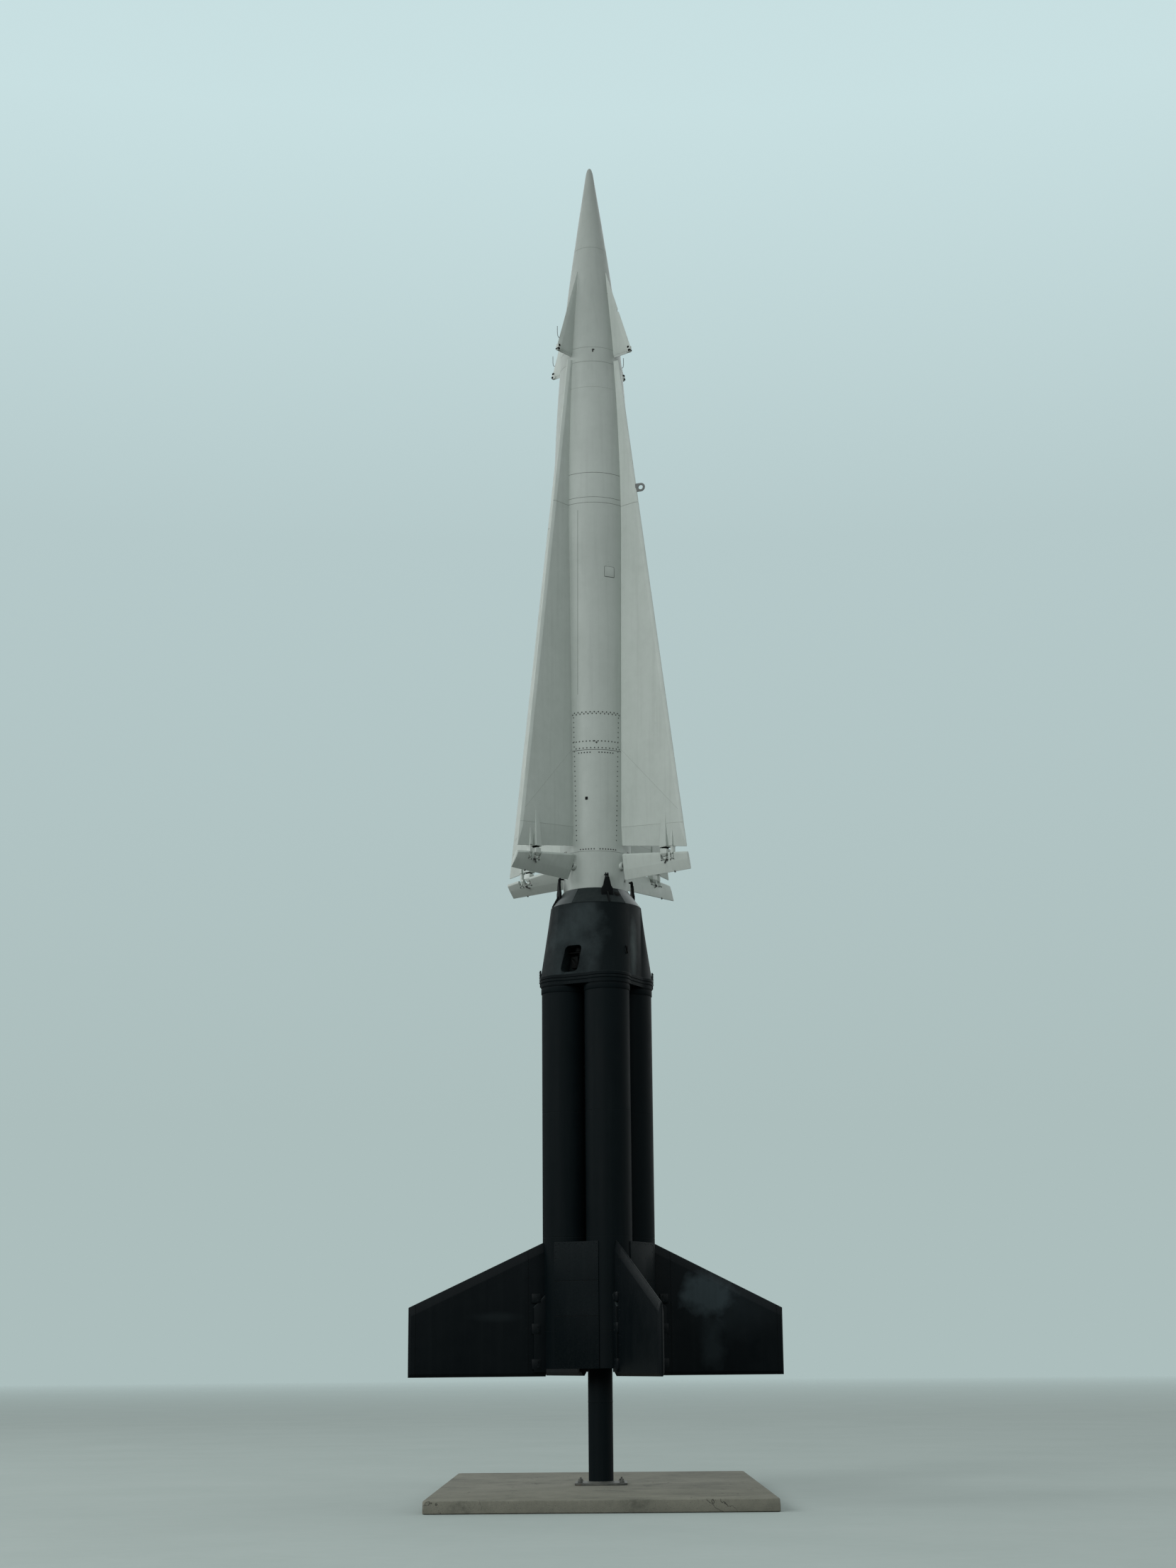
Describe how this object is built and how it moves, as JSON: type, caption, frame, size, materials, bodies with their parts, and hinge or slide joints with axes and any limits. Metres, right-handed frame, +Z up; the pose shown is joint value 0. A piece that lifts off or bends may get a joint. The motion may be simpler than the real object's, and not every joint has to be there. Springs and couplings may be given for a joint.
{
  "type": "two-stage winged rocket on a display post",
  "caption": "Tall two-stage rocket: a slender upper stage with long delta wings and hinged elevons, on a finned booster of clustered tubes, held by a pipe post on a concrete pad.",
  "frame": {"origin": "middle of the concrete pad's underside, on the rocket's axis", "axes": "+Z up along the rocket, -Y towards the viewer of the picture, +X to that viewer's right"},
  "size_m": [3.3506, 4.8, 12.883],
  "materials": {
    "concrete": "rough cast concrete, weather-stained",
    "black_paint": "satin black enamel, wet and weathered",
    "grey_paint": "satin pale grey enamel, weathered",
    "nozzle_steel": "dull dark steel, soot-stained"
  },
  "bodies": {
    "rocket": {"pad": "concrete", "base_plate": "black_paint", "post": "black_paint", "booster_flange": "black_paint", "adapter": "black_paint", "booster_tube_front": "black_paint", "booster_tube_right": "black_paint", "booster_tube_back": "black_paint", "booster_tube_left": "black_paint", "booster_nozzle_front": "nozzle_steel", "booster_nozzle_right": "nozzle_steel", "booster_nozzle_back": "nozzle_steel", "booster_nozzle_left": "nozzle_steel", "booster_fin_front": "black_paint", "booster_fin_right": "black_paint", "booster_fin_back": "black_paint", "booster_fin_left": "black_paint", "release_hook_front": "black_paint", "release_hook_right": "black_paint", "release_hook_back": "black_paint", "release_hook_left": "black_paint", "shroud_panel_front": "black_paint", "shroud_panel_right": "black_paint", "shroud_panel_back": "black_paint", "shroud_panel_left": "black_paint", "tail_section": "grey_paint", "aft_body": "grey_paint", "centre_body": "grey_paint", "mid_body": "grey_paint", "fore_body": "grey_paint", "nose_cone": "grey_paint", "fore_fin_front_right": "grey_paint", "fore_fin_back_right": "grey_paint", "fore_fin_back_left": "grey_paint", "fore_fin_front_left": "grey_paint", "wing_front_right": "grey_paint", "wing_back_right": "grey_paint", "wing_back_left": "grey_paint", "wing_front_left": "grey_paint", "lifting_lug": "grey_paint"},
    "front_right_elevon": {"elevon_front_right": "grey_paint"},
    "back_right_elevon": {"elevon_back_right": "grey_paint"},
    "back_left_elevon": {"elevon_back_left": "grey_paint"},
    "front_left_elevon": {"elevon_front_left": "grey_paint"}
  },
  "joints": [
    {"name": "front_right_elevon_hinge", "type": "hinge", "parent": "rocket", "child": "front_right_elevon", "pos_m": [0.67015, -0.57035, 5.615], "axis": [0.7615, -0.6481, 0], "range_deg": [-51, 39]},
    {"name": "back_right_elevon_hinge", "type": "hinge", "parent": "rocket", "child": "back_right_elevon", "pos_m": [0.57035, 0.67015, 5.615], "axis": [0.6481, 0.7615, 0], "range_deg": [-30, 60]},
    {"name": "back_left_elevon_hinge", "type": "hinge", "parent": "rocket", "child": "back_left_elevon", "pos_m": [-0.67015, 0.57035, 5.615], "axis": [-0.7615, 0.6481, 0], "range_deg": [-2, 88]},
    {"name": "front_left_elevon_hinge", "type": "hinge", "parent": "rocket", "child": "front_left_elevon", "pos_m": [-0.57035, -0.67015, 5.615], "axis": [-0.6481, -0.7615, 0], "range_deg": [-25, 65]}
  ]
}
